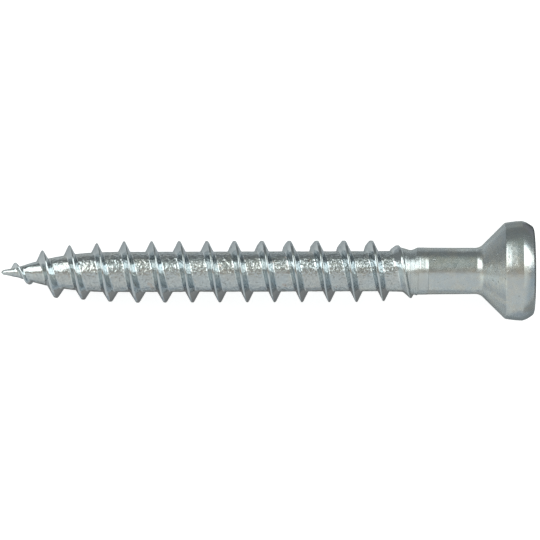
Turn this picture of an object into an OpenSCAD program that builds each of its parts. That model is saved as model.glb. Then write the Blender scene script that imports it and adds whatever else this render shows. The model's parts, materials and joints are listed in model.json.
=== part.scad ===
// Frame adjustment screw: a cold-headed steel wood screw, rolled with a coarse
// right-hand thread of one start and zinc plated. It is one solid.
// The screw is drawn along +Z, point at 0 and face at screw_len, then laid down
// as it rests: on the rim of its head and on one crest of its thread. There +X
// runs from point to head, +Z is up, and the origin is on the resting surface,
// below the middle of the bounding box.

/* [Screw] */
// Length from the point to the face of the head
screw_len = 60; // [40:0.5:90]
// Diameter of the plain shank below the head
shank_d = 5.25; // [5:0.05:5.9]
// Length of the unthreaded shank, from the thread to the cone of the head
shank_len = 7.3; // [4:0.1:20]

/* [Thread] */
// Outer diameter of the thread, over its crests
thread_d = 7; // [6.4:0.1:7.6]
// Core diameter of the thread, in the root between its turns
root_d = 4.55; // [4.2:0.05:4.8]
// Pitch, which is also the lead of the single start
pitch = 3.07; // [2.7:0.01:3.8]
// Included angle between the two flanks
flank_angle = 50; // [36:1:56]
// Width of the flat left on the crest
crest_w = 0.25; // [0.1:0.05:0.4]

/* [Point] */
// Diameter of the blunt end of the point
tip_d = 0.56; // [0.2:0.02:0.7]
// Length of the small cone that closes the blunt end
tip_len = 0.2; // [0.05:0.05:0.3]
// Diameter of the slender nose where it widens into the rest of the point
nose_d = 1.26; // [1:0.02:1.6]
// Length of the slender nose
nose_len = 2; // [1:0.1:3]
// Length of the whole tapered point
point_len = 13; // [9:0.5:18]
// Distance from the end of the point to where the ridge of the thread starts
ridge_start = 0.77; // [0.4:0.01:1.2]

/* [Collar] */
// Rise of the core from its root to where the thread runs out
runout_rise = 0.12; // [0.05:0.01:0.2]
// Length over which the core rises there
runout_len = 3; // [1:0.5:5]
// Step from the core up to the shoulder
step_rise = 0.04; // [0.02:0.01:0.1]
// Length of the shoulder's cone
shoulder_len = 0.5; // [0.3:0.05:0.8]
// Rise of the rolled collar over the plain shank
collar_rise = 0.04; // [0.02:0.01:0.1]
// Length of the collar with its shoulder
collar_len = 1.65; // [1.2:0.05:2.5]
// Length over which the collar falls to the shank
collar_fade = 0.3; // [0.1:0.05:0.6]

/* [Head] */
// Largest diameter of the head, on the land of its rim
head_d = 11.25; // [10:0.05:13]
// Included angle of the cone under the head
cone_angle = 90; // [80:1:100]
// Rise of the rim from the end of the cone to the land
flare_rise = 0.27; // [0.1:0.01:0.4]
// Length over which the rim flares
flare_len = 1.7; // [1:0.1:2.5]
// Length of the cylindrical land
land_len = 0.7; // [0.4:0.1:1.5]
// Radius of the rounding between the land and the face
edge_r = 1.2; // [0.5:0.1:1.5]
// Radius of the fillet between the shank and the cone
neck_r = 1.5; // [0.5:0.1:2.5]
// Radius of the rounding between the cone and the flare
cone_blend_r = 0.9; // [0.3:0.1:1.2]
// Radius of the rounding between the flare and the land
land_blend_r = 3; // [1:0.5:5]

/* [Drive recess] */
// Diameter across the points of the six-lobed recess
drive_d = 5.6; // [5:0.05:6]
// Diameter across the waists between its lobes
waist_d = 3.95; // [3.6:0.05:4.2]
// Radius at the tip of each lobe
lobe_r = 0.45; // [0.35:0.01:0.5]
// Depth of the straight walls below the face
drive_depth = 2.6; // [2:0.1:3.2]
// Angle between the conical floor and the face
floor_angle = 20; // [10:1:30]
// Width of the chamfer around the mouth
mouth_chamfer = 0.15; // [0.05:0.01:0.3]

/* [Resolution] */
// Steps in which one turn of the thread is drawn
steps = 40; // [24:4:48]

/* [Hidden] */
$fn = 96;

// Share of the ridge's full height against turns from its start, where the
// first two turns grow out of the point.
GROWTH = [[0, 0], [0.25, 0.38], [0.75, 0.4], [1.25, 0.82], [1.75, 0.9], [4, 1]];
// The same against turns left to its end, where the rolling runs out.
RUNOUT = [[0, 0], [0.12, 0.5], [0.65, 0.5], [1.1, 0.92], [1.4, 1]];
// Power of the curve by which the point fills out to the full core
POINT_POWER = 2.3;
// Depth by which the core reaches into the shank, so that they are one and the
// ridge runs into the shoulder
SEAT = 0.25;
// Room that the ridge's last foot keeps to the end of the core
FOOT_ROOM = 0.05;
// Lobes of the drive recess, and the steps in which an arc is drawn
LOBES = 6;
ARC_STEPS = 6;
// Height by which a cutter stands out of the face
CUT_ROOM = 1;

tip_r = tip_d / 2;
nose_r = nose_d / 2;
root_r = root_d / 2;
ridge_h = thread_d / 2 - root_r;
runout_r = root_r + runout_rise;
shank_r = shank_d / 2;
collar_r = shank_r + collar_rise;
head_r = head_d / 2;
rim_r = head_r - flare_rise;
drive_r = drive_d / 2;

// Heights along the screw, from the face down
land_start = screw_len - edge_r - land_len;
cone_end = land_start - flare_len;
cone_start = cone_end - (rim_r - shank_r) / tan(cone_angle / 2);
thread_len = cone_start - shank_len;
collar_end = thread_len + collar_len;

// Axial growth of the ridge from its foot to its crest, on one side
flank_w = tan(flank_angle / 2);
// Half width of the ridge where it starts to close, and the steps it takes
last_foot = crest_w / 2 + ridge_h * RUNOUT[1].y * flank_w;
ridge_len = thread_len + SEAT - FOOT_ROOM - last_foot - ridge_start + pitch * RUNOUT[1].x;
last_step = floor(ridge_len / pitch * steps);

function unit(v) = v / norm(v);
function polar(r, angle, z) = [r * cos(angle), r * sin(angle), z];
function turned(p, angle) = [p.x * cos(angle) - p.y * sin(angle), p.x * sin(angle) + p.y * cos(angle)];

// Place and turn of a step along the helix
function step_z(q) = ridge_start + pitch * q / steps;
function step_angle(q) = 360 * q / steps;

// Radius of the core at a height above the point: a slender nose, a curve that
// fills out to the straight root, and a small rise where the thread runs out.
function core_r(z) =
    z < nose_len
    ? tip_r + (nose_r - tip_r) * z / nose_len
    : z < point_len
    ? root_r - (root_r - nose_r) * pow((point_len - z) / (point_len - nose_len), POINT_POWER)
    : root_r + runout_rise * max(0, 1 - (thread_len - z) / runout_len);

// Height of the ridge over the core, its half width at the crest and at the
// foot, and the radius of its crest, all at one step of the helix
function ridge_at(q) =
    ridge_h * min(lookup(q / steps, GROWTH), lookup((last_step - q) / steps, RUNOUT));
function crest_half(q) = crest_w / 2 * min(1, 2 * ridge_at(q) / ridge_h);
function foot_half(q) = crest_half(q) + ridge_at(q) * flank_w;
function crest_r(q) = core_r(step_z(q)) + ridge_at(q);

// The four corners of the ridge at a step: foot, crest, crest and foot
function ridge_section(q) = [
    for (side = [[-foot_half(q), 0], [-crest_half(q), 1], [crest_half(q), 1], [foot_half(q), 0]])
    let (z = step_z(q) + side.x)
    polar(side.y > 0 ? crest_r(q) : core_r(z), step_angle(q), z)
];

// Rest: turned down onto the floor, the head's land and one crest touch it. The
// crest is the one that meets the floor at the smallest tilt of the axis.
function tilt_to(q) =
    atan((head_r - crest_r(q)) / (land_start - step_z(q) + crest_half(q)));
tilt = min([for (q = [steps:steps:last_step - 1]) tilt_to(q)]);
lift = head_r * cos(tilt) - land_start * sin(tilt);
laid_len = (screw_len - edge_r) * cos(tilt) + (head_r - edge_r) * sin(tilt) + edge_r;

// A corner of an outline, rounded: the arc that touches both of its sides
function rounded(before, corner, after, r) =
    let (
        u = unit(before - corner),
        v = unit(after - corner),
        half = acos(u * v) / 2,
        centre = corner + unit(u + v) * r / sin(half),
        start = corner + u * r / tan(half) - centre,
        sweep = -sign(cross(u, v)) * (180 - 2 * half)
    )
    [for (i = [0:ARC_STEPS]) centre + turned(start, sweep * i / ARC_STEPS)];

// Threaded core in one skin. The ridge is a strip of four corners a step, and
// the root joins each far foot to the near foot one turn on. The skin closes in
// a small cone at the point and in a flat ring inside the shank. At its ends
// the ridge shrinks to one corner, where the skin is fanned around it.
module threaded_core() {
    function corner(q, k) = q <= 0 ? 0 : q >= last_step ? 4 * last_step - 3 : 4 * q - 3 + k;
    ring_start = 4 * last_step - 2;
    tip = ring_start + 2 * steps;
    seat = tip + 1;
    function tip_ring(q) = ring_start + q % steps;
    function seat_ring(q) = ring_start + steps + q % steps;

    points = concat(
        [polar(core_r(ridge_start), 0, ridge_start)],
        [for (q = [1:last_step - 1]) each ridge_section(q)],
        [polar(core_r(step_z(last_step)), step_angle(last_step), step_z(last_step))],
        [for (q = [0:steps - 1]) polar(tip_r, step_angle(q), tip_len)],
        [for (q = [0:steps - 1]) polar(runout_r, step_angle(q), thread_len + SEAT)],
        [[0, 0, 0], [0, 0, thread_len + SEAT]]
    );
    ridge_faces = [
        for (q = [0:last_step - 1], k = [0:2])
        each [
            if (q > 0) [corner(q, k), corner(q, k + 1), corner(q + 1, k)],
            if (q < last_step - 1) [corner(q, k + 1), corner(q + 1, k + 1), corner(q + 1, k)]
        ]
    ];
    root_faces = [
        for (q = [0:last_step - steps - 1])
        each [
            [corner(q, 3), corner(q + steps, 0), corner(q + 1, 3)],
            [corner(q + 1, 3), corner(q + steps, 0), corner(q + steps + 1, 0)]
        ]
    ];
    tip_faces = [
        for (q = [0:steps - 1])
        each [
            [tip, tip_ring(q), tip_ring(q + 1)],
            [tip_ring(q), corner(q, 0), tip_ring(q + 1)],
            [tip_ring(q + 1), corner(q, 0), corner(q == steps - 1 ? 0 : q + 1, 0)],
            if (q == steps - 1) [corner(0, 0), corner(q, 0), corner(q + 1, 0)]
        ]
    ];
    first_open = last_step - steps;
    seat_faces = [
        for (q = [first_open:last_step - 1])
        each [
            [seat, seat_ring(q + 1), seat_ring(q)],
            [seat_ring(q + 1), corner(q + 1, 3), seat_ring(q)],
            [corner(q == first_open ? last_step : q, 3), seat_ring(q), corner(q + 1, 3)],
            if (q == first_open) [corner(q, 3), corner(last_step, 0), corner(q + 1, 3)]
        ]
    ];
    polyhedron(points, concat(ridge_faces, root_faces, tip_faces, seat_faces), convexity = 20);
}

// Shank and head, turned from one outline: shoulder, collar, plain shank,
// countersunk cone, flared rim, land and face. A corner's last number is the
// radius that rounds it.
module shank_and_head() {
    corners = [
        [0, thread_len, 0],
        [runout_r + step_rise, thread_len, 0],
        [collar_r, thread_len + shoulder_len, 0],
        [collar_r, collar_end - collar_fade, 0],
        [shank_r, collar_end, 0],
        [shank_r, cone_start, neck_r],
        [rim_r, cone_end, cone_blend_r],
        [head_r, land_start, land_blend_r],
        [head_r, screw_len, edge_r],
        [0, screw_len, 0]
    ];
    function place(i) = [corners[i].x, corners[i].y];
    rotate_extrude()
    polygon([
        for (i = [0:len(corners) - 1])
        each corners[i].z > 0
            ? rounded(place(i - 1), place(i), place(i + 1), corners[i].z)
            : [place(i)]
    ]);
}

// Outline of the six-lobed drive: at each lobe an outward arc, and between two
// lobes an inward arc that touches both.
module drive_outline() {
    lobe_place = drive_r - lobe_r;
    half_step = 180 / LOBES;
    across = lobe_place * cos(half_step);
    waist_gap = waist_d / 2 - across - lobe_r;
    waist_r =
        (pow(lobe_r, 2) - pow(waist_d / 2, 2) - pow(lobe_place, 2) + waist_d * across)
        / (2 * waist_gap);
    waist_place = waist_d / 2 + waist_r;
    // Direction from a lobe's centre to where its arc meets the waist's
    meet = turned([waist_place, 0], half_step) - [lobe_place, 0];
    lobe_span = atan2(meet.y, meet.x);
    waist_span = lobe_span - half_step;
    polygon([
        for (i = [0:LOBES - 1])
        each concat(
            [for (k = [-ARC_STEPS / 2:ARC_STEPS / 2])
                turned(
                    [lobe_place, 0] + lobe_r * turned([1, 0], lobe_span * 2 * k / ARC_STEPS),
                    2 * i * half_step
                )],
            [for (k = [-ARC_STEPS / 2 + 1:ARC_STEPS / 2 - 1])
                turned(
                    [waist_place, 0] - waist_r * turned([1, 0], -waist_span * 2 * k / ARC_STEPS),
                    (2 * i + 1) * half_step
                )]
        )
    ]);
}

// Cutter for the recess: straight lobed walls over a conical floor, and the
// chamfer that leads a bit into the mouth.
module drive_recess() {
    floor_depth = drive_r * tan(floor_angle);
    intersection() {
        translate([0, 0, screw_len - drive_depth - floor_depth])
        linear_extrude(drive_depth + floor_depth + CUT_ROOM)
        drive_outline();
        union() {
            translate([0, 0, screw_len - drive_depth - floor_depth])
            cylinder(h = floor_depth, r1 = 0, r2 = drive_r);
            translate([0, 0, screw_len - drive_depth])
            cylinder(h = drive_depth + CUT_ROOM, r = drive_r);
        }
    }
    translate([0, 0, screw_len - mouth_chamfer])
    cylinder(h = 2 * mouth_chamfer, r1 = drive_r - mouth_chamfer, r2 = drive_r + mouth_chamfer);
}

module frame_screw() {
    color("#b3b9b4")
    translate([-laid_len / 2, 0, lift])
    rotate([0, 90 - tilt, 0])
    difference() {
        union() {
            threaded_core();
            shank_and_head();
        }
        drive_recess();
    }
}

frame_screw();
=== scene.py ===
import json
import math

import bpy
from mathutils import Matrix, Vector


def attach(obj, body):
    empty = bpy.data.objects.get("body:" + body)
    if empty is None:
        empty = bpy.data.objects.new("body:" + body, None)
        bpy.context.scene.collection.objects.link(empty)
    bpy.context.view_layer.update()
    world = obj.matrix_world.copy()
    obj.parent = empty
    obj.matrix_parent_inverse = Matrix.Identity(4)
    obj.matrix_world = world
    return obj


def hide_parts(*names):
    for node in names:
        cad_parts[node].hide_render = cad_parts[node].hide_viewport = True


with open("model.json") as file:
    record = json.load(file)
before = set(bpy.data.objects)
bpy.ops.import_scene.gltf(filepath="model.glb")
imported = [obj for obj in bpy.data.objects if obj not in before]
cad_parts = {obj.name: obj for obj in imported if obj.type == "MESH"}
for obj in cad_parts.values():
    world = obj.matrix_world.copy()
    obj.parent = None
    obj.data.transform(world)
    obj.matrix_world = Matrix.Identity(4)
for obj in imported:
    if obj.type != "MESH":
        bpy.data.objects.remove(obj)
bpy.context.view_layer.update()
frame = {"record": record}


# Shank and head: steel wire, upset cold into a countersunk cone, a rim that
# flares to a short land, and a face with a rounded edge, where the punch leaves
# the six-lobed drive. Sizes are in millimetres, from the point at 0 up.

screw_len = 60.0
shank_r = 2.625
shank_len = 7.3
head_r = 5.625
rim_r = 5.355
flare_len = 1.7
land_len = 0.7
edge_r = 1.2

land_start = screw_len - edge_r - land_len
cone_end = land_start - flare_len
cone_start = cone_end - (rim_r - shank_r)
thread_len = cone_start - shank_len

# The rolled collar stands a little over the shank, and the shank slims a
# little towards the head
shoulder_len = 0.5
collar_len = 1.65
collar_r = shank_r + 0.04
collar_start = thread_len + shoulder_len
collar_end = thread_len + collar_len
neck_r = shank_r - 0.02

# Corners of the turned outline: radius, height, and the radius that rounds it
outline = [
    (collar_r, collar_start, 0),  # where the thread is welded on
    (collar_r - 0.01, collar_end - 0.22, 0.3),  # end of the collar
    (shank_r + 0.015, collar_end, 0.3),  # foot of its step
    (neck_r, cone_start + 0.18, 1.25),  # neck
    (rim_r + 0.05, cone_end + 0.27, 0.22),  # end of the cone
    (rim_r + 0.15, cone_end + 0.85, 4.0),  # middle of the flare
    (head_r - 0.03, land_start - 0.1, 6.0),  # end of the flare
    (head_r, screw_len - edge_r - 0.2, 0.04),  # crease that ends the land
    (head_r - 0.115, screw_len - 0.91, 2.4),  # edge
    (head_r - 0.73, screw_len - 0.012, 0.65),  # face
]
outline_arc_steps = 14
outline_step = 0.19

# The drive: lobes and waists are arcs that touch, and a chamfer leads in
drive_r = 2.8
waist_r = 1.975
lobe_arc_r = 0.45
drive_depth = 2.6
floor_slope = math.tan(math.radians(20))
chamfer = 0.15
mouth_r = drive_r + 0.1
face_r = mouth_r + 0.5
soft_edge = 0.02
floor_edge = 0.1
lobe_step = math.pi / 3

# Steps in a full turn of the blank and of the thread
steps = 120


def arc(before, corner, after, radius, count):
    """The arc that touches both sides of a corner, as count + 1 points."""
    back, on = (before - corner).normalized(), (after - corner).normalized()
    half = back.angle(on) / 2
    centre = corner + (back + on).normalized() * radius / math.sin(half)
    start = corner + back * radius / math.tan(half) - centre
    sweep = -math.copysign(math.pi - 2 * half, back.cross(on))
    return [centre + Matrix.Rotation(sweep * i / count, 2) @ start for i in range(count + 1)]


def rounded(corners, arc_steps):
    """An outline's points, where each corner is (radius, height, rounding)."""
    at = [Vector(c[:2]) for c in corners]
    points = []
    for i, corner in enumerate(corners):
        if corner[2] > 0:
            points += arc(at[i - 1], at[i], at[i + 1], corner[2], arc_steps)
        else:
            points.append(at[i])
    return points


def parted(start, end, pieces):
    """The points that cut a stretch into that many equal pieces."""
    return [start.lerp(end, i / pieces) for i in range(1, pieces)]


def divided(points, longest):
    """The same outline with no stretch longer than longest."""
    out = [points[0]]
    for start, end in zip(points, points[1:]):
        pieces = max(1, math.ceil((end - start).length / longest))
        out += parted(start, end, pieces) + [end]
    return out


def drive_reach(angle):
    """Radius of the drive's outline in a direction, from its nearest lobe."""
    from_lobe = abs((angle + lobe_step / 2) % lobe_step - lobe_step / 2)
    lobe_at = drive_r - lobe_arc_r
    across = lobe_at * math.cos(lobe_step / 2)
    gap = waist_r - across - lobe_arc_r
    waist_arc_r = (lobe_arc_r**2 - waist_r**2 - lobe_at**2 + 2 * waist_r * across) / (2 * gap)
    waist_at = waist_r + waist_arc_r
    waist_centre = Vector((waist_at * math.cos(lobe_step / 2), waist_at * math.sin(lobe_step / 2)))
    lobe_centre = Vector((lobe_at, 0))
    meet = lobe_centre + (waist_centre - lobe_centre).normalized() * lobe_arc_r
    if from_lobe < math.atan2(meet.y, meet.x):
        offset = lobe_at * math.sin(from_lobe)
        return lobe_at * math.cos(from_lobe) + math.sqrt(lobe_arc_r**2 - offset**2)
    from_waist = lobe_step / 2 - from_lobe
    offset = waist_at * math.sin(from_waist)
    return waist_at * math.cos(from_waist) - math.sqrt(waist_arc_r**2 - offset**2)


def recess_profile(angle):
    """The way from the face down into the drive in one direction."""
    wall = drive_reach(angle)
    ledge = max(drive_r - chamfer, wall + 0.03)
    ledge_at = screw_len - (mouth_r - ledge)
    floor_at = screw_len - drive_depth - (drive_r - wall) * floor_slope
    corners = [
        (face_r, screw_len, 0),
        (mouth_r, screw_len, soft_edge),
        (ledge, ledge_at, soft_edge),
        (wall, ledge_at - 0.015, soft_edge),
        (wall, floor_at, floor_edge),
        (0, floor_at - wall * floor_slope, 0),
    ]
    corner_steps, wall_pieces, floor_pieces = 3, 8, 6
    points = rounded(corners, corner_steps)
    centre = points.pop()
    way_in, foot = points[: -corner_steps - 1], points[-corner_steps - 1 :]
    wall_points = parted(way_in[-1], foot[0], wall_pieces)
    floor_points = parted(foot[-1], centre, floor_pieces)
    return way_in + wall_points + foot + floor_points + [centre]


recess = [recess_profile(math.tau * k / steps) for k in range(steps)]
turned_outline = divided(rounded(outline + [(face_r, screw_len, 0)], outline_arc_steps), outline_step)
# The face's last point is the recess's first
profiles = [turned_outline[:-1] + way_down for way_down in recess]
rows = len(profiles[0])

blank_mesh = bpy.data.meshes.new("screw_blank")
blank_mesh.from_pydata(
    [
        (p.x * math.cos(math.tau * k / steps), p.x * math.sin(math.tau * k / steps), p.y)
        for k, profile in enumerate(profiles)
        for p in profile
    ],
    [],
    [
        (rows * k + i, rows * beside + i, rows * beside + i + 1, rows * k + i + 1)
        for k, beside in enumerate([*range(1, steps), 0])
        for i in range(rows - 1)
    ],
)
screw = bpy.data.objects.new("zinc_plated_screw", blank_mesh)
bpy.context.scene.collection.objects.link(screw)


# Thread: two dies roll a coarse right-hand thread of one start into the steel,
# from the slender point up to the collar. The groove's floor is pressed flat and
# comes out wrinkled, and the last turn fades into the blank.


class Wire:
    """A node's output. Arithmetic on it adds Math nodes to its tree."""

    def __init__(self, tree, socket):
        self.tree, self.socket = tree, socket

    def math(self, operation, *others):
        return self.tree.add("ShaderNodeMath", {"operation": operation}, [self, *others])

    def other(self, name):
        """Another output of the same node."""
        return Wire(self.tree, self.socket.node.outputs[name])

    def __add__(self, value):
        return self.math("ADD", value)

    def __mul__(self, value):
        return self.math("MULTIPLY", value)

    def __sub__(self, value):
        return self.math("SUBTRACT", value)

    def __truediv__(self, value):
        return self.math("DIVIDE", value)

    def __rsub__(self, value):
        return self.tree.add("ShaderNodeMath", {"operation": "SUBTRACT"}, [value, self])

    def __pow__(self, value):
        return self.math("POWER", value)

    __radd__, __rmul__ = __add__, __mul__

    def through(self, knots):
        """The curve through knots (value, height), eased in each stretch."""
        height = knots[0][1]
        for (start, low), (end, high) in zip(knots, knots[1:]):
            rise = self.tree.add(
                "ShaderNodeMapRange",
                {"interpolation_type": "SMOOTHSTEP"},
                {"Value": self, "From Min": start, "From Max": end, "To Max": high - low},
            )
            height = rise + height
        return height

    def between(self, one, other):
        """The colour that lies this share of the way from one to another."""
        return self.tree.add(
            "ShaderNodeMix",
            {"data_type": "RGBA"},
            {"Factor_Float": self, "A_Color": one, "B_Color": other},
            output="Result_Color",
        )


class Tree:
    """A node tree, to which add puts a node with its settings and inputs."""

    def __init__(self, nodes):
        self.nodes = nodes

    def add(self, kind, settings=None, inputs=None, output=0):
        node = self.nodes.nodes.new(kind)
        for name, value in (settings or {}).items():
            setattr(node, name, value)
        pairs = inputs.items() if isinstance(inputs, dict) else enumerate(inputs or [])
        for name, value in pairs:
            named = [s for s in node.inputs if name in (s.identifier, s.name)]
            socket = node.inputs[name] if isinstance(name, int) else named[0]
            for one in value if isinstance(value, list) else [value]:
                if isinstance(one, Wire):
                    self.nodes.links.new(one.socket, socket)
                else:
                    socket.default_value = one
        named = [s for s in node.outputs if output in (s.identifier, s.name)]
        found = named[0] if named else node.outputs[output] if len(node.outputs) else None
        return Wire(self, found)


rolling = bpy.data.node_groups.new("rolled_thread", "GeometryNodeTree")
rolling.is_modifier = True
rolling.interface.new_socket("Geometry", in_out="OUTPUT", socket_type="NodeSocketGeometry")
rolling.interface.new_socket("Blank", in_out="INPUT", socket_type="NodeSocketGeometry")
root_r = 2.275
thread_sizes = {
    "Pitch": 3.07,
    "Ridge start": 0.77,
    "Ridge height": 1.225,
    "Crest width": 0.17,
    "Flank slope": math.tan(math.radians(25)),
    "Turns": 14.9,
    "Root radius": root_r,
    "Point length": 13.0,
    "Nose length": 2.0,
    "Nose radius": 0.63,
    "Tip radius": 0.22,
    "Tip length": 0.3,
    "Foot fillet": 0.27,
    "Crest rounding": 0.05,
    "Wrinkle depth": 0.022,
    "Dent depth": 0.008,
}
thread_inputs = {
    name: rolling.interface.new_socket(name, in_out="INPUT", socket_type="NodeSocketFloat")
    for name in thread_sizes
}
finish_input = rolling.interface.new_socket("Finish", in_out="INPUT", socket_type="NodeSocketMaterial")

# The strip starts a turn before the ridge, where its far half closes the point,
# and ends past it, where its near half closes the shoulder
across_steps = 36
first_turn, last_turn = -1.0, 15.55
thread_rows = round((last_turn - first_turn) * steps)

# The first turns grow out of the point, and the last ones run out: share of
# the full ridge against turns from the start, and against turns to the end
growth = [(0, 0), (0.25, 0.47), (0.75, 0.33), (1.25, 0.9), (1.75, 0.99), (2.75, 0.82), (3.75, 0.9), (4.3, 1)]
runout = [(0, 0), (0.11, 0.56), (0.65, 0.5), (1.1, 0.92), (1.4, 1)]
# Where the dies end, the steel behind the ridge isn't pressed down any more:
# its height over the root against turns to the end, which falls over heap_len
heap = [(-0.3, 0), (0.15, 0.26), (0.6, 0.52), (0.9, 0.12), (1.2, 0)]
heap_len = 1.5
runout_rise = 0.12
runout_len = 3.0
shoulder_slope = (shank_r - root_r - runout_rise) / shoulder_len
seam_len = 0.1

tree = Tree(rolling)
given = tree.add("NodeGroupInput")
size = {name: given.other(name) for name in thread_sizes}

# A strip wound along the helix: its length follows the thread, its width
# spans one pitch, and the far edge of a turn meets the near edge of the next
strip = tree.add(
    "GeometryNodeMeshGrid",
    inputs={
        "Size X": thread_rows,
        "Size Y": 2.0,
        "Vertices X": thread_rows + 1,
        "Vertices Y": across_steps + 1,
    },
)
flat = tree.add("ShaderNodeSeparateXYZ", inputs=[tree.add("GeometryNodeInputPosition")])
turn = (flat + thread_rows / 2).math("ROUND") / steps + first_turn
side = flat.other("Y")
angle = turn * math.tau
sine, cosine = angle.math("SINE"), angle.math("COSINE")

# Points lie closer together towards the crest. The dies don't meet quite, so
# the crest leans towards the head, and further on one side of the screw.
lean = turn.through([(3, 0), (11, 1), (13.4, 1), (14.3, 0.4)]) * (sine * 0.07 + 0.15)
off = side.math("SIGN") * side.math("ABSOLUTE") ** 1.6 * size["Pitch"] / 2
off = off + lean * (1 - side * side)
from_crest = off - lean
aside = from_crest.math("ABSOLUTE")
height = (turn * size["Pitch"] + size["Ridge start"] + off).math("MAXIMUM", 0)
height = height.math("MINIMUM", collar_start)

# The core: a domed end, a slender nose, a curve that fills out to the root,
# and the shoulder that leads up to the collar
up_nose = (height / size["Nose length"]).math("MINIMUM", 1)
nose = size["Tip radius"] + (size["Nose radius"] - size["Tip radius"]) * up_nose
left = (size["Point length"] - height) / (size["Point length"] - size["Nose length"])
filled = 1 - left.math("MAXIMUM", 0).math("MINIMUM", 1) ** 2.3
core = nose + (size["Root radius"] - size["Nose radius"]) * filled
core = core + (1 - (thread_len - height) / runout_len).math("MAXIMUM", 0) * runout_rise
core = core.math("SMOOTH_MAX", (height - collar_start) * shoulder_slope + collar_r, 0.06)
core = core.math("MINIMUM", collar_r)
dome = 1 - (1 - (height / size["Tip length"]).math("MINIMUM", 1)) ** 2
core = core * dome.math("SQRT")

# The ridge: two flanks up to a narrow crest, which is worn here and there. It
# is blunter on one side of the screw, and near the point its foot is wider there.
along_ridge = tree.add("ShaderNodeCombineXYZ", inputs={"X": cosine * 4, "Y": sine * 4, "Z": turn * 5})
wear = tree.add("ShaderNodeTexNoise", inputs={"Vector": along_ridge, "Scale": 0.5, "Detail": 3.0})
share = turn.through(growth).math("MINIMUM", (size["Turns"] - turn).through(runout))
ridge_height = size["Ridge height"] * share * (1.0 - wear * 0.05)
half_crest = size["Crest width"] / 2 * (share * 2).math("MINIMUM", 1) * (0.7 + wear * 0.6)
half_crest = half_crest * (1 + sine * turn.through([(4, -0.3), (9, 0.4)]))
slope = size["Flank slope"] * (1 - sine.math("MINIMUM", 0) * turn.through([(4, 0.3), (9, 0)]))
# The flank towards the point bulges under a chamfer on one side of the screw,
# and it gets long where the ridge runs out
towards_point = from_crest.math("LESS_THAN", 0)
fold = turn.through([(7, 0), (10, 1)]) * (sine * 0.6 + wear * 1.6 - 0.6).math("MAXIMUM", 0)
fold = fold.math("MINIMUM", 1) * towards_point
fading = (size["Turns"] - turn).through([(0.55, 1), (0.95, 0)]) * towards_point
half_crest = half_crest + fold * 0.05
climb = ridge_height - (aside - half_crest) / (slope * (1 + fading * 1.5 + fold * 0.75))
under = half_crest + ridge_height * slope - fold * 0.02 - aside
climb = climb.math("MINIMUM", under / (slope * (1 - fold * 0.6)) + fading * 2)
# Its foot is filleted, and a ridge that has no height yet stays buried
bury = size["Foot fillet"] * (1 - (ridge_height / size["Foot fillet"]).math("MINIMUM", 1))
ridge = ridge_height.math("SMOOTH_MIN", climb, size["Crest rounding"]) - bury
ridge = ridge.math("SMOOTH_MAX", 0, size["Foot fillet"])
behind = off.math("GREATER_THAN", 0) * (1 - off / heap_len).math("MAXIMUM", 0)
heaped = (size["Turns"] - turn).through(heap) * behind
# Both end flush with the collar, where the strip is welded to the blank
flush = ((collar_start - height) / seam_len).math("MINIMUM", 1)
radius = core + ridge.math("SMOOTH_MAX", heaped, 0.03) * dome * flush
radius = radius.math("MINIMUM", size["Root radius"] + size["Ridge height"])

# How far a point is groove floor and crest, which the zinc's pattern reads
floor_share = 1 - (ridge / 0.12).math("MINIMUM", 1)
crest_share = 1 - ((aside - half_crest) / 0.06).math("MAXIMUM", 0).math("MINIMUM", 1)
for name, field in (("groove", floor_share), ("crest", crest_share * share)):
    strip = tree.add(
        "GeometryNodeStoreNamedAttribute",
        {"data_type": "FLOAT", "domain": "POINT"},
        {"Geometry": strip, "Name": name, "Value": field},
    )
wound = tree.add("ShaderNodeCombineXYZ", inputs=[radius * cosine, radius * sine, height])
strip = tree.add("GeometryNodeSetPosition", inputs={"Geometry": strip, "Position": wound})
joined = tree.add("GeometryNodeJoinGeometry", inputs={"Geometry": [given, strip]})
joined = tree.add("GeometryNodeMergeByDistance", inputs={"Geometry": joined, "Distance": 0.0006})

# The groove's floor is wrinkled where the dies pressed it, and small dents
# from tumbling are all over. Both only go inwards.
place = tree.add("GeometryNodeInputPosition")
groove = tree.add("GeometryNodeInputNamedAttribute", {"data_type": "FLOAT"}, {"Name": "groove"})
wrinkles = tree.add(
    "ShaderNodeTexNoise",
    inputs={"Vector": place, "Scale": 1.5, "Detail": 2.5, "Roughness": 0.55},
).through([(0.3, 1), (0.62, 0)])
dents = tree.add("ShaderNodeTexNoise", inputs={"Vector": place, "Scale": 0.55, "Detail": 2.0})
sunk = groove * size["Wrinkle depth"] * wrinkles + size["Dent depth"] * dents
inwards = tree.add(
    "ShaderNodeVectorMath",
    {"operation": "SCALE"},
    {"Vector": tree.add("GeometryNodeInputNormal"), "Scale": sunk * -1},
)
skin = tree.add("GeometryNodeSetPosition", inputs={"Geometry": joined, "Offset": inwards})
skin = tree.add("GeometryNodeSetShadeSmooth", inputs={"Geometry": skin})
skin = tree.add("GeometryNodeRealizeInstances", inputs=[skin])
skin = tree.add("GeometryNodeSetMaterial", inputs={"Geometry": skin, "Material": given.other("Finish")})
tree.add("NodeGroupOutput", inputs=[skin])


# Zinc: bright plating over the whole screw, a few micrometres thick. It is
# glossy on the rolled thread and collar, duller on the drawn shank and the
# struck head, and mottled between blue-grey and straw.

# The screw lies on the land of its head and on one crest, as the record says
rim = next(m for m in frame["record"]["mounts"] if m["name"] == "head_rim")
axis = Vector(rim["axis"])
millimetre = 0.001
rim_at = land_start + land_len / 2
point_at = Vector(rim["pos_m"]) - axis * rim_at * millimetre
crossways = Vector((0, 1, 0))
down = crossways.cross(axis)
turned_down = Matrix((down, crossways, axis)).transposed().to_4x4()
laid_down = Matrix.Translation(point_at) @ turned_down @ Matrix.Scale(millimetre, 4)

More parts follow.
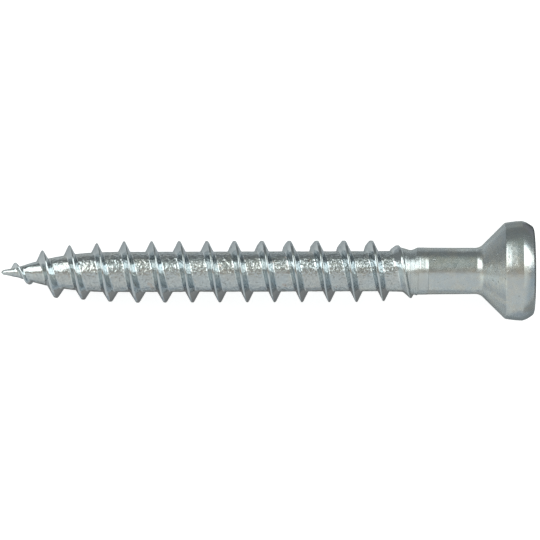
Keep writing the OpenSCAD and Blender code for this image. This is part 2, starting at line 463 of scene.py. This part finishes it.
zinc = bpy.data.materials.new("bright_zinc")
zinc.use_nodes = True
zinc.node_tree.nodes.clear()
plating = Tree(zinc.node_tree)

# Object coordinates turned back into the screw's own: millimetres from its
# point, with its axis along Z
own_place, own_turn, own_scale = laid_down.inverted().decompose()
own = plating.add(
    "ShaderNodeMapping",
    inputs={
        "Vector": plating.add("ShaderNodeTexCoord", output="Object"),
        "Location": own_place,
        "Rotation": own_turn.to_euler(),
        "Scale": own_scale,
    },
)
along = plating.add("ShaderNodeSeparateXYZ", inputs=[own], output="Z")
rolled = 1 - along.through([(collar_end - 0.03, 0), (collar_end + 0.05, 1)])
on_collar = rolled * along.through([(collar_start - 2.1, 0), (collar_start - 1.4, 1)])
groove_mask = plating.add("ShaderNodeAttribute", {"attribute_name": "groove"}, output="Fac")
crest_mask = plating.add("ShaderNodeAttribute", {"attribute_name": "crest"}, output="Fac")
pressed = groove_mask * (1 - on_collar * 0.85)
on_flank = rolled * (1 - groove_mask) * (1 - on_collar)


def mottle(scale, detail=2.0, roughness=0.5, vector=own):
    """Noise of that many spots in a millimetre, from 0 to 1."""
    return plating.add(
        "ShaderNodeTexNoise",
        inputs={"Vector": vector, "Scale": scale, "Detail": detail, "Roughness": roughness},
    )


blue_grey = (0.69, 0.755, 0.76, 1)
straw = (0.735, 0.72, 0.65, 1)
# Painted reflection: the flanks' paler blue
flank_sheen = (0.76, 0.82, 0.85, 1)
# Painted shade: the crests' darker grey
crest_shade = (0.62, 0.675, 0.69, 1)
dull = (0.47, 0.52, 0.545, 1)
steel_blue = (0.56, 0.635, 0.68, 1)
tarnish = (0.56, 0.48, 0.42, 1)
pit_colour = (0.16, 0.16, 0.15, 1)

# Blue-grey to straw in patches, and speckled where the steel was drawn
patches = mottle(0.45, 3.0).through([(0.4, 0), (0.62, 1)])
speckle = mottle(3.6).through([(0.35, 0), (0.65, 1)])
colour = (patches * 0.5 + speckle * 0.28 * (1 - rolled)).between(blue_grey, straw)
# Dull specks and dark pores, most of them in the pressed groove
grain = mottle(5.0)
specks = 1 - grain.through([(0.38, 0), (0.6, 1)]) * mottle(2.6).through([(0.4, 0), (0.55, 1)])
colour = (specks * (0.16 + pressed * 0.24)).between(colour, dull)
pores = 1 - mottle(3.6, 1.0).through([(0.34, 0), (0.41, 1)])
colour = (pores * pressed * 0.3).between(colour, pit_colour)
clouds = mottle(1.3, 2.5).through([(0.42, 0), (0.6, 1)])
colour = (clouds * (0.22 + 0.2 * (1 - rolled))).between(colour, steel_blue)
# Painted reflection: the flanks are paler and bluer than the rest, for the brightness they show where they
# mirror the sheet
colour = (on_flank * 0.75).between(colour, flank_sheen)
# Painted shade: the crests are darker, to dim the bright line that their rounding mirrors
colour = (crest_mask * 0.7).between(colour, crest_shade)
# Single pits, spots of tarnish, and the lines that end the shoulder and collar
pit_cells = plating.add("ShaderNodeTexVoronoi", inputs={"Vector": own, "Scale": 1.1, "Randomness": 1.0})
pits = (1 - pit_cells.through([(0.06, 0), (0.14, 1)])) * mottle(0.6).through([(0.45, 0), (0.55, 1)])
colour = (pits * (0.4 + rolled * 0.3)).between(colour, pit_colour)
stains = mottle(0.8).through([(0.66, 0), (0.73, 1)])
colour = (stains * pressed * 0.5).between(colour, tarnish)
unsteady = along + mottle(1.2) * 0.12 - 0.06
edge_lines = [(unsteady - line_at).math("ABSOLUTE") for line_at in (collar_start, collar_end)]
marked = 1 - edge_lines[0].math("MINIMUM", edge_lines[1]).through([(0.02, 0), (0.06, 1)])
colour = (marked * 0.3).between(colour, pit_colour)

gloss = 0.25 - rolled * 0.08 + on_collar * 0.05 - on_flank * 0.04 + groove_mask * 0.04
gloss = gloss + (mottle(1.6, 3.0) - 0.5) * 0.10 + speckle * 0.03

# The groove is wrinkled and hammered, the collar ringed, the drawn steel uneven
wrinkle = mottle(2.8, 2.5, 0.6).through([(0.36, 0), (0.64, 1)])
hammered = plating.add(
    "ShaderNodeTexVoronoi",
    {"feature": "SMOOTH_F1"},
    {"Vector": own, "Scale": 3.0, "Smoothness": 0.2, "Randomness": 1.0},
)
turned_lines = mottle(1.0, vector=plating.add("ShaderNodeCombineXYZ", inputs={"Z": along * 12}))
relief = (wrinkle * 0.55 + hammered * 1.65) * pressed * along.through([(3, 0.2), (12, 1)])
relief = relief + grain * (0.06 + 0.06 * rolled) + turned_lines * on_collar * 2.0
relief = relief + mottle(2.0) * (1 - rolled) * 0.55 - pits * 0.6
bump = plating.add("ShaderNodeBump", inputs={"Strength": 1.0, "Distance": 0.00003, "Height": relief})
surface = plating.add(
    "ShaderNodeBsdfPrincipled",
    inputs={
        "Base Color": colour,
        "Metallic": 1.0,
        "Roughness": gloss,
        "Specular Tint": (0.60, 0.62, 0.64, 1),
        "Normal": bump,
    },
)
plating.add("ShaderNodeOutputMaterial", inputs={"Surface": surface})

rolled_on = screw.modifiers.new("rolled_thread", "NODES")
rolled_on.node_group = rolling
for name, value in thread_sizes.items():
    rolled_on[thread_inputs[name].identifier] = value
rolled_on[finish_input.identifier] = zinc
graph = bpy.context.evaluated_depsgraph_get()
evaluated = screw.evaluated_get(graph)
whole = bpy.data.meshes.new_from_object(evaluated, preserve_all_data_layers=True, depsgraph=graph)
screw.modifiers.clear()
screw.data = whole
whole.name = "zinc_plated_screw"
whole.transform(laid_down)

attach(screw, "root")
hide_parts("frame_screw")


# Studio: the screw lies on a white sheet and is taken from straight above. Two
# soft boxes hang side by side beyond it, tipped towards it. Glowing cards that
# only the metal's gloss sees are painted reflection of a dark room and painted
# shade of the screw's own shadow, and a room that the camera doesn't see
# stands for the rest of what the metal mirrors.

backdrop = bpy.data.materials.new("white_sheet")
backdrop.use_nodes = True
backdrop.node_tree.nodes.clear()
paper = Tree(backdrop.node_tree)
seen = paper.add("ShaderNodeLightPath", output="Is Camera Ray")
lit = paper.add("ShaderNodeBsdfDiffuse", inputs={"Color": (0.61, 0.615, 0.62, 1)})
shine = seen * 0.75 + seen.other("Is Glossy Ray") * 0.1
lift = paper.add("ShaderNodeEmission", inputs={"Color": (1, 1, 1, 1), "Strength": shine})
sheet = paper.add("ShaderNodeAddShader", inputs=[lit, lift])
paper.add("ShaderNodeOutputMaterial", inputs={"Surface": sheet})

floor_half = 1.5
floor_corners = [(x * floor_half, y * floor_half, 0) for x, y in ((-1, -1), (1, -1), (1, 1), (-1, 1))]
floor_mesh = bpy.data.meshes.new("floor")
floor_mesh.from_pydata(floor_corners, [], [(0, 1, 2, 3)])
floor_mesh.materials.append(backdrop)
floor = bpy.data.objects.new("floor", floor_mesh)
bpy.context.scene.collection.objects.link(floor)

# Cards in millimetres, each by its grey: painted shade that glows for the gloss
# alone. Two lean away, behind the screw and past its head, as painted reflection
# of a dark room. The others lie just over the sheet, as painted shadow of the
# screw that its metal mirrors, and are given by where they start and end in X and in Y.
card_lift = 0.1
leaning_cards = [
    (
        (0.185, 0.195, 0.195),
        [(-120, 17.5, card_lift), (120, 17.5, card_lift), (120, 32, 16), (-120, 32, 16)],
    ),
    (
        (0.15, 0.16, 0.16),
        [(38.5, -8, card_lift), (38.5, 12, card_lift), (50, 12, 10), (50, -8, 10)],
    ),
]
lying_cards = [
    ((0.12, 0.13, 0.13), (30.5, 38.5), (-5, 9)),
    ((0.35, 0.37, 0.38), (-34, 22), (9, 17.5)),
    ((0.285, 0.28, 0.27), (-30, 22), (-6, -2.6)),
    ((0.37, 0.40, 0.43), (-34, 9), (-24, -8)),
    ((0.36, 0.385, 0.41), (15.5, 23.5), (-22, -10.5)),
    ((0.33, 0.35, 0.355), (26, 36), (-13.5, -5)),
    ((0.36, 0.39, 0.42), (26, 36), (-36, -14.5)),
    ((0.35, 0.365, 0.36), (23.5, 30.5), (9, 17.5)),
    ((0.245, 0.245, 0.27), (30.5, 46), (9, 17.5)),
    ((0.29, 0.30, 0.30), (36, 100), (-70, -10)),
]
cards = leaning_cards + [
    (grey, [(x0, y0, card_lift), (x1, y0, card_lift), (x1, y1, card_lift), (x0, y1, card_lift)])
    for grey, (x0, x1), (y0, y1) in lying_cards
]
# Each card glows with its grey and only the metal's gloss sees it: painted shade in the reflections
for grey, corners in cards:
    dark = bpy.data.materials.new("painted_shade_card")
    dark.use_nodes = True
    dark.node_tree.nodes.clear()
    card = Tree(dark.node_tree)
    glow = card.add("ShaderNodeEmission", inputs={"Color": (*grey, 1)})
    card.add("ShaderNodeOutputMaterial", inputs={"Surface": glow})
    card_mesh = bpy.data.meshes.new("painted_shade_card")
    card_mesh.from_pydata([Vector(corner) * millimetre for corner in corners], [], [(0, 1, 2, 3)])
    card_mesh.materials.append(dark)
    shade_card = bpy.data.objects.new("painted_shade_card", card_mesh)
    bpy.context.scene.collection.objects.link(shade_card)
    shade_card.visible_camera = False
    shade_card.visible_diffuse = False
    shade_card.visible_shadow = False

# Angles seen from the screw: how far the boxes' plane is tipped, its half
# height, and where each box starts and ends to the side
box_distance = 0.8
box_tip, box_half = math.radians(38.75), math.radians(26.75)
box_from, box_to = math.radians(14.5), math.radians(68)
box_radiance = 1.9
near, far = box_distance * math.tan(box_from), box_distance * math.tan(box_to)
for hand in (-1, 1):
    light = bpy.data.lights.new("soft_box", "AREA")
    light.shape = "RECTANGLE"
    light.color = (0.98, 1.0, 0.99)
    light.size, light.size_y = far - near, 2 * box_distance * math.tan(box_half)
    light.energy = box_radiance * math.pi * light.size * light.size_y
    lamp = bpy.data.objects.new("soft_box", light)
    hung = Matrix.Translation((hand * (near + far) / 2, 0, box_distance))
    lamp.matrix_world = Matrix.Rotation(-box_tip, 4, "X") @ hung
    bpy.context.scene.collection.objects.link(lamp)

# The room round the screw: light in front, brown in a band overhead, dark
# beyond, with blue low and pale high on the right. The camera sees white.
world = bpy.data.worlds.new("studio")
bpy.context.scene.world = world
world.use_nodes = True
world.node_tree.nodes.clear()
room = Tree(world.node_tree)
towards = room.add("ShaderNodeSeparateXYZ", inputs=[room.add("ShaderNodeTexCoord", output="Generated")])
sideways, across, up = towards.other("X"), towards.other("Y"), towards.other("Z")
front = sideways.through([(-0.95, 0), (-0.4, 1)]).between((0.85, 0.90, 0.87, 1), (0.585, 0.60, 0.60, 1))
walls = across.through([(-0.2, 0), (-0.03, 1)]).between(front, (0.29, 0.28, 0.245, 1))
walls = across.through([(-0.2, 0), (-0.09, 0.7), (0.04, 0)]).between(walls, (0.36, 0.275, 0.21, 1))
walls = across.through([(0.1, 0), (0.45, 1)]).between(walls, (0.255, 0.28, 0.255, 1))
low_right = sideways.through([(0.35, 0), (0.9, 1)]) * (1 - up.through([(0.3, 0), (0.65, 1)]))
walls = (low_right * 0.55).between(walls, (0.19, 0.30, 0.40, 1))
high_right = sideways.through([(0.3, 0), (0.45, 1)]) * up.through([(0.6, 0), (0.8, 1)])
walls = (high_right * 0.6).between(walls, (0.80, 0.85, 0.82, 1))
shown = room.add(
    "ShaderNodeMixShader",
    inputs=[
        room.add("ShaderNodeLightPath", output="Is Camera Ray"),
        room.add("ShaderNodeBackground", inputs={"Color": walls}),
        room.add("ShaderNodeBackground", inputs={"Color": (1, 1, 1, 1)}),
    ],
)
room.add("ShaderNodeOutputWorld", inputs={"Surface": shown})

# Straight down on the screw's axis, from where the screw fills the frame's
# width. The head's end stands a little higher in the picture.
camera_distance = 0.55
frame_width = 0.0608
aim_from_point = 0.03026
aim_above_axis = 0.00017
camera_roll = math.radians(-0.18)
middle = crossways * aim_above_axis + point_at + axis * aim_from_point
camera = bpy.data.cameras.new("camera")
camera.lens = camera.sensor_width * camera_distance / frame_width
camera.clip_start = 0.01
viewer = bpy.data.objects.new("camera", camera)
facing = Matrix((axis, crossways, -down)).transposed().to_4x4()
placed = Matrix.Translation(middle - down * camera_distance)
viewer.matrix_world = placed @ facing @ Matrix.Rotation(camera_roll, 4, "Z")
bpy.context.scene.collection.objects.link(viewer)
bpy.context.scene.camera = viewer

bpy.context.scene.view_settings.view_transform = "Standard"
